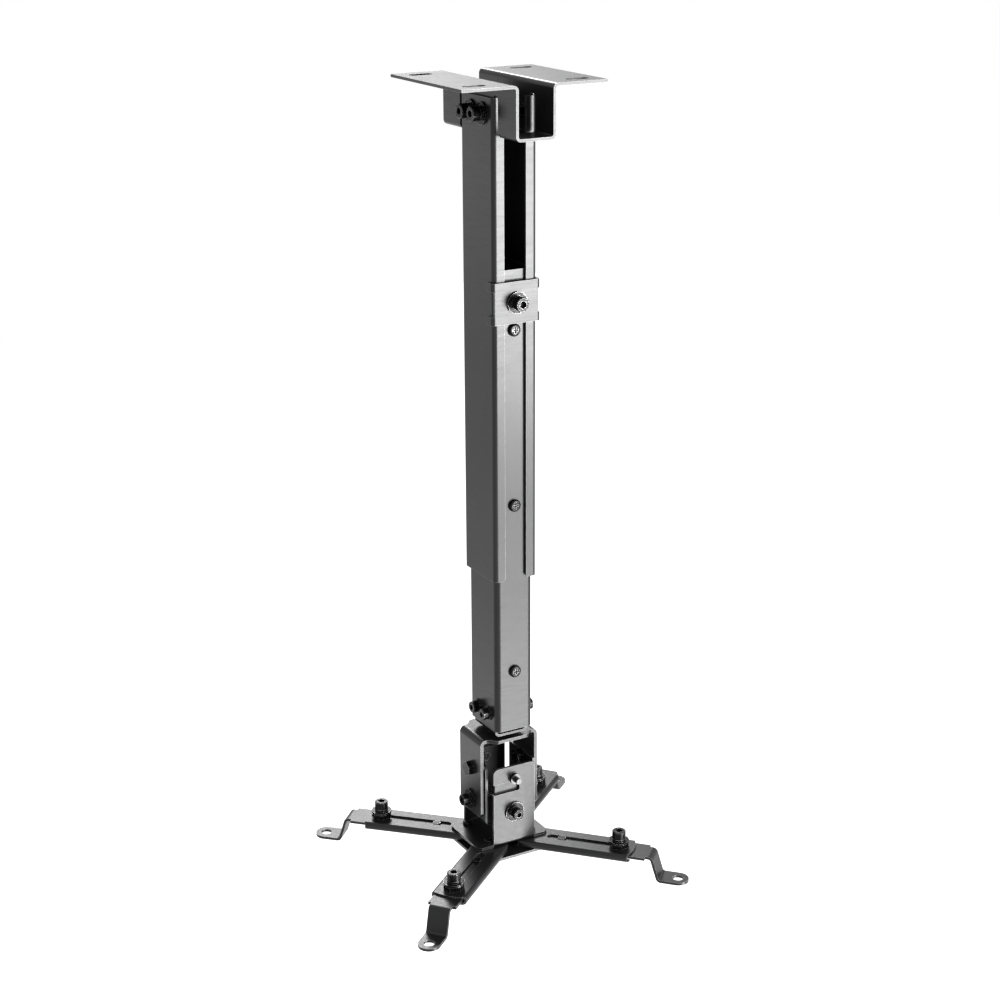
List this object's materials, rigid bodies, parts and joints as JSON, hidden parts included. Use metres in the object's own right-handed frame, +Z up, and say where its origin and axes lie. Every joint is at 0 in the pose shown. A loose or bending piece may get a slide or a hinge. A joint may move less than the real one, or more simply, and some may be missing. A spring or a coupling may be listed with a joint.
{
  "type": "projector ceiling mount",
  "caption": "Telescopic ceiling mount with a slotted bracket, clamped column, swivelling and tilting head, and slotted arms whose sliding feet carry a projector.",
  "frame": {"origin": "centre of the four ceiling slots, in the plane of the ceiling", "axes": "+Z up into the ceiling, -Y towards the side with the clamp plate, +X to the right as seen from that side"},
  "size_m": [0.2232, 0.2121, 0.5846],
  "materials": {
    "column_paint": "satin black paint",
    "sheet_paint": "satin black paint",
    "fastener_black": "semi-gloss black oxide"
  },
  "bodies": {
    "ceiling_unit": {"ceiling_bracket": "column_paint", "outer_channel": "column_paint", "top_screws": "fastener_black", "top_washers": "fastener_black", "top_nuts": "fastener_black"},
    "inner_column": {"inner_tube": "column_paint", "clamp_plate": "column_paint", "clamp_screw": "fastener_black", "clamp_washers": "fastener_black", "clamp_nut": "fastener_black", "tube_screws": "fastener_black", "insert": "column_paint", "insert_screws": "fastener_black", "insert_washers": "fastener_black", "insert_nuts": "fastener_black", "swivel_bolt": "fastener_black", "swivel_washer": "fastener_black", "swivel_nut": "fastener_black"},
    "yoke_body": {"yoke": "sheet_paint"},
    "cradle_body": {"cradle": "sheet_paint", "tilt_pivot_bolts": "fastener_black", "tilt_pivot_nuts": "fastener_black", "tilt_lock_screws": "fastener_black", "tilt_lock_washers": "fastener_black", "tilt_lock_nuts": "fastener_black", "hook_studs": "fastener_black", "roll_lock_screws": "fastener_black", "roll_lock_washers": "fastener_black", "roll_lock_nuts": "fastener_black"},
    "lower_head": {"lower_bracket": "sheet_paint", "lower_base_plate": "sheet_paint", "arm_pivot_screws": "fastener_black", "arm_pivot_nuts": "fastener_black"},
    "arm_1_body": {"arm_1": "sheet_paint"},
    "foot_1_body": {"foot_1": "sheet_paint", "foot_screw_1": "fastener_black", "foot_washers_1": "fastener_black", "foot_nut_1": "fastener_black", "foot_pin_1": "fastener_black"},
    "arm_2_body": {"arm_2": "sheet_paint"},
    "foot_2_body": {"foot_2": "sheet_paint", "foot_screw_2": "fastener_black", "foot_washers_2": "fastener_black", "foot_nut_2": "fastener_black", "foot_pin_2": "fastener_black"},
    "arm_3_body": {"arm_3": "sheet_paint"},
    "foot_3_body": {"foot_3": "sheet_paint", "foot_screw_3": "fastener_black", "foot_washers_3": "fastener_black", "foot_nut_3": "fastener_black", "foot_pin_3": "fastener_black"},
    "arm_4_body": {"arm_4": "sheet_paint"},
    "foot_4_body": {"foot_4": "sheet_paint", "foot_screw_4": "fastener_black", "foot_washers_4": "fastener_black", "foot_nut_4": "fastener_black", "foot_pin_4": "fastener_black"}
  },
  "joints": [
    {"name": "height_slide", "type": "slide", "parent": "ceiling_unit", "child": "inner_column", "axis": [0, 0, 1], "range_m": [-0.18, 0.08]},
    {"name": "swivel", "type": "hinge", "parent": "inner_column", "child": "yoke_body", "pos_m": [0, 0.0042, -0.47745], "axis": [0, 0, 1], "continuous": true},
    {"name": "tilt", "type": "hinge", "parent": "yoke_body", "child": "cradle_body", "pos_m": [0, 0.0042, -0.50495], "axis": [1, 0, 0], "range_deg": [-10, 10]},
    {"name": "roll", "type": "hinge", "parent": "cradle_body", "child": "lower_head", "pos_m": [0, 0.0042, -0.50945], "axis": [0, 1, 0], "range_deg": [-8, 8]},
    {"name": "arm_1_swing", "type": "hinge", "parent": "lower_head", "child": "arm_1_body", "pos_m": [-0.0175, 0.0207, -0.56315], "axis": [0, 0, 1], "range_deg": [-30, 30]},
    {"name": "arm_2_swing", "type": "hinge", "parent": "lower_head", "child": "arm_2_body", "pos_m": [-0.0175, -0.0123, -0.56315], "axis": [0, 0, 1], "range_deg": [-30, 30]},
    {"name": "arm_3_swing", "type": "hinge", "parent": "lower_head", "child": "arm_3_body", "pos_m": [0.0175, -0.0123, -0.56315], "axis": [0, 0, 1], "range_deg": [-30, 30]},
    {"name": "arm_4_swing", "type": "hinge", "parent": "lower_head", "child": "arm_4_body", "pos_m": [0.0175, 0.0207, -0.56315], "axis": [0, 0, 1], "range_deg": [-30, 30]},
    {"name": "foot_1_slide", "type": "slide", "parent": "arm_1_body", "child": "foot_1_body", "axis": [-0.7169, 0.6972, 0], "range_m": [-0.0079, 0.0044]},
    {"name": "foot_2_slide", "type": "slide", "parent": "arm_2_body", "child": "foot_2_body", "axis": [-0.7771, -0.6293, 0], "range_m": [-0.0079, 0.0044]},
    {"name": "foot_3_slide", "type": "slide", "parent": "arm_3_body", "child": "foot_3_body", "axis": [0.6858, -0.7278, 0], "range_m": [-0.0079, 0.0044]},
    {"name": "foot_4_slide", "type": "slide", "parent": "arm_4_body", "child": "foot_4_body", "axis": [0.7771, 0.6293, 0], "range_m": [-0.0004, 0.0119]}
  ]
}
